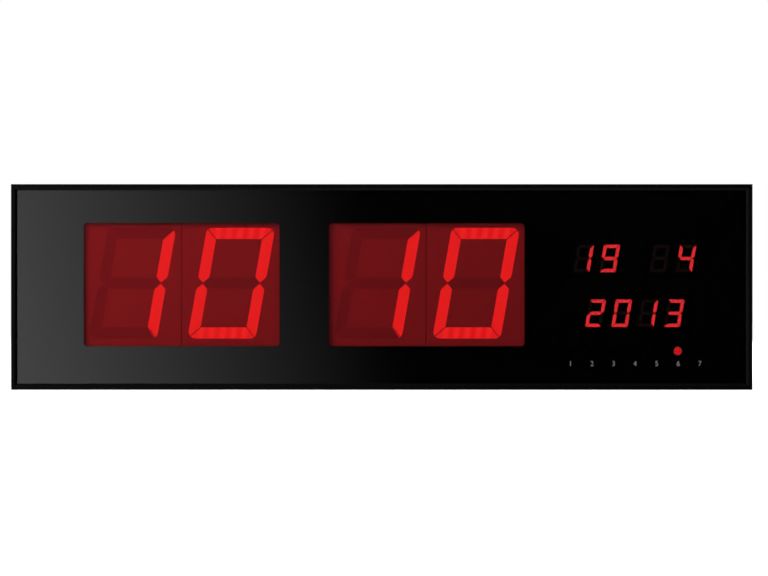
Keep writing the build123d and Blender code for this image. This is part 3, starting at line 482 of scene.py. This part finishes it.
def paint_electronics():
    """The boards, the parts on them and the cables between them."""
    board = circuit_board()
    for name in ("hours_board", "minutes_board", "calendar_board"):
        paint(name, board)
    resin = moulded_plastic("chip_moulding_resin", "#191919", "#222222", 0.45, 0.02, (0.55, 0.7))
    for name in ("controller_chip", "driver_chips", "regulator"):
        paint(name, resin)
    black = moulded_plastic("black_nylon", "#121212", "#1A1A1A")
    for name in ("ribbon_headers", "power_jack", "buzzer", "switch_bodies", "battery_tray", "button_guide"):
        paint(name, black)
    steel = plated_metal("polished_steel", "#C9C9C6", "#B4B4B2", 0.25)
    for name in ("coin_cell", "clock_crystal"):
        paint(name, steel)
    paint("board_spacers", plated_metal("nickel_plated_brass", "#C8C2AF", "#B5AE9A", 0.3))
    paint("corner_keys", plated_metal("zinc_plated_steel", "#A9ABA8", "#8F928F", 0.42))
    spring = plated_metal("spring_brass", "#C9A765", "#B08F4E", 0.3)
    for name in ("cell_contacts", "power_jack_pin"):
        paint(name, spring)
    paint("capacitors", electrolytic_can(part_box("capacitors")[1].y))
    paint("cell_leads", moulded_plastic("red_lead_insulation", "#8A1512", "#9C1A16"))
    cable = ribbon_cable()
    for name in ("hours_ribbon", "minutes_ribbon"):
        paint(name, cable)


def paint_rear():
    """The rear cover, its screws, the push buttons and the battery door."""
    paint("rear_cover", powder_coat())
    zinc = plated_metal("black_zinc_plate", "#5E6063", "#494B4E", 0.34)
    for name in ("corner_screws", "cover_screws", "spacer_screws", "door_screw"):
        paint(name, zinc)
    satin = moulded_plastic("satin_black_button", "#2C2C2E", "#353537", 0.6, 0.02, (0.3, 0.42))
    for name in ("mode_button", "up_button", "down_button", "alarm_button"):
        paint(name, satin)
    paint("battery_door", moulded_plastic("textured_black_abs", "#232325", "#2D2D2F", 0.75, 0.05))


# ---------------------------------------------------------------- pieces modelled here
def weekday_numbers():
    """The numbers 1 to 7 under the lamps, printed on the panel as one piece."""
    low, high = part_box("weekday_lamps")
    radius = (high.z - low.z) / 2
    step = (high.x - low.x - 2 * radius) / 6
    cap_height, middle_z, thickness = 4.7 * MM, 23.9 * MM, 0.02 * MM
    made = []
    for i in range(7):
        bpy.ops.object.text_add()
        letter = bpy.context.object
        letter.data.body = str(i + 1)
        letter.data.align_x = "CENTER"
        letter.data.resolution_u = 6
        letter.rotation_euler = (math.pi / 2, 0, 0)
        bpy.ops.object.convert(target="MESH")
        letter = bpy.context.object
        size = cap_height / letter.dimensions.y
        letter.scale = (size, size, size)
        bpy.context.view_layer.update()
        tops = [(letter.matrix_world @ v.co).z for v in letter.data.vertices]
        x = low.x + radius + i * step
        letter.location = (x, PANEL_LOW.y - thickness / 2, middle_z - (max(tops) + min(tops)) / 2)
        bpy.ops.object.transform_apply(location=True, rotation=True, scale=True)
        solid = letter.modifiers.new("ink", "SOLIDIFY")
        solid.thickness = thickness
        solid.offset = 0
        bpy.ops.object.modifier_apply(modifier="ink")
        made.append(letter)
        bpy.ops.object.select_all(action="DESELECT")
    for letter in made:
        letter.select_set(True)
    bpy.context.view_layer.objects.active = made[0]
    bpy.ops.object.join()
    made[0].name = "weekday_numbers"
    made[0].data.materials.clear()
    made[0].data.materials.append(grey_ink())
    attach(made[0], "case")
    bpy.ops.object.select_all(action="DESELECT")


# ---------------------------------------------------------------- the studio
CAMERA_AWAY = 3.0
VIEW_WIDTH = 0.6983       # what the camera sees at the panel's front, from side to side
CARD_EDGE = 0.001         # where the reflected light card ends, from the middle of the view
CARD_FADE = 0.309
CARD_TILT = 0.264
AMBIENT = 0.17            # the soft even light from all round
FLOOR_GLOW = 0.88         # the floor's own light, which keeps it white between soft shadows


def studio_world():
    """A white surround for the camera, a light card on the left for gloss, and a soft even fill."""
    world = bpy.data.worlds.new("studio")
    bpy.context.scene.world = world
    world.use_nodes = True
    tree = world.node_tree
    tree.nodes.clear()

    def sum_of(operation, a, b=0.0, clamp=False):
        return add(tree, "ShaderNodeMath", {0: a, 1: b}, operation=operation, use_clamp=clamp).outputs[0]

    way = add(tree, "ShaderNodeSeparateXYZ", {0: add(tree, "ShaderNodeTexCoord").outputs["Generated"]})
    x, y, z = way.outputs
    ahead = sum_of("MAXIMUM", sum_of("MULTIPLY", y, -1.0), 0.02)
    tilted = sum_of("ADD", x, sum_of("MULTIPLY", z, CARD_TILT))
    place = sum_of("MULTIPLY", sum_of("DIVIDE", tilted, ahead), CAMERA_AWAY)
    fade = sum_of("DIVIDE", sum_of("SUBTRACT", CARD_EDGE, place), CARD_FADE)
    fade = sum_of("MINIMUM", sum_of("MAXIMUM", fade, 0.0), 1.12)
    card = sum_of("POWER", fade, 1.5)
    # soft light from well above, which the upper edges mirror, and a little from well below
    steep = sum_of("MULTIPLY", sum_of("SUBTRACT", sum_of("ABSOLUTE", z), 0.3), 2.5, clamp=True)
    above = sum_of("GREATER_THAN", z, 0.0)
    overhead = add(tree, "ShaderNodeMix", {0: above, 2: 0.12, 3: 0.5}, data_type="FLOAT").outputs[0]
    card = sum_of("MAXIMUM", card, sum_of("MULTIPLY", steep, overhead))
    rear = sum_of("GREATER_THAN", y, 0.0)
    gloss = add(tree, "ShaderNodeMix", {0: rear, 2: card, 3: 0.9}, data_type="FLOAT").outputs[0]
    path = add(tree, "ShaderNodeLightPath").outputs
    mirrored = sum_of("ADD", path["Is Glossy Ray"], path["Is Transmission Ray"], clamp=True)
    soft = add(tree, "ShaderNodeMix", {0: mirrored, 2: AMBIENT, 3: gloss}, data_type="FLOAT").outputs[0]
    level = add(tree, "ShaderNodeMix", {0: path["Is Camera Ray"], 2: soft, 3: 1.0}, data_type="FLOAT").outputs[0]
    background = add(tree, "ShaderNodeBackground", {"Color": (1, 1, 1, 1), "Strength": level})
    output = add(tree, "ShaderNodeOutputWorld")
    tree.links.new(background.outputs[0], output.inputs[0])


def pale_floor():
    """A matt white floor that keeps the soft shadow and stays white to the camera."""
    bpy.ops.mesh.primitive_plane_add(size=12.0, location=(0, 0, CASE_LOW.z))
    floor = bpy.context.object
    floor.name = "studio_floor"
    floor.visible_glossy = False
    material, tree, output = new_material("matt_white_floor")
    paper = grain(tree, 25)
    board = add(tree, "ShaderNodeBsdfDiffuse", {"Color": two_tone(tree, spread(tree, paper, 0, 1), "#E0E0E0", "#E4E4E4")})
    glow = add(tree, "ShaderNodeEmission", {"Color": (1, 1, 1, 1)})
    path = add(tree, "ShaderNodeLightPath").outputs
    seen = path["Is Camera Ray"]
    for way in ("Is Glossy Ray", "Is Transmission Ray"):
        seen = add(tree, "ShaderNodeMath", {0: seen, 1: path[way]}, operation="MAXIMUM").outputs[0]
    own_light = add(tree, "ShaderNodeMath", {0: seen, 1: FLOOR_GLOW}, operation="MULTIPLY").outputs[0]
    tree.links.new(own_light, glow.inputs["Strength"])
    both = add(tree, "ShaderNodeAddShader", {0: board.outputs[0], 1: glow.outputs[0]})
    tree.links.new(both.outputs[0], output.inputs[0])
    floor.data.materials.append(material)
    bpy.ops.object.select_all(action="DESELECT")


def lamp(name, place, aim, size, power):
    """A soft square area lamp that points at a place and isn't mirrored."""
    light = bpy.data.lights.new(name, "AREA")
    light.size = size
    light.energy = power
    made = bpy.data.objects.new(name, light)
    bpy.context.scene.collection.objects.link(made)
    made.location = place
    made.rotation_euler = direction_to(place, aim)
    made.visible_glossy = False


def direction_to(place, aim):
    """The turn that points a lamp's or camera's -Z from place to aim, with +Y up."""
    return (Vector(aim) - Vector(place)).to_track_quat("-Z", "Y").to_euler()


def studio():
    """Lamps, surround, floor and camera."""
    middle = (CASE_LOW + CASE_HIGH) / 2
    lamp("key_lamp", (-0.95, -0.8, 0.78), (-0.2, 0, middle.z), 0.6, 23)
    lamp("fill_lamp", (1.8, -2.0, 0.9), tuple(middle), 1.6, 3)
    lamp("rear_lamp", (0.9, 2.0, 1.4), tuple(middle), 1.2, 85)
    studio_world()
    pale_floor()
    camera = bpy.data.cameras.new("camera")
    camera.sensor_width = 36.0
    camera.lens = camera.sensor_width * CAMERA_AWAY / VIEW_WIDTH
    camera.clip_end = 50
    made = bpy.data.objects.new("camera", camera)
    bpy.context.scene.collection.objects.link(made)
    made.location = (0.00205, PANEL_LOW.y - CAMERA_AWAY, 0.0926)
    made.rotation_euler = (math.pi / 2, 0, 0)
    scene = bpy.context.scene
    scene.camera = made
    scene.view_settings.view_transform = "Standard"


paint_frame()
paint_displays()
paint_electronics()
paint_rear()
weekday_numbers()
studio()
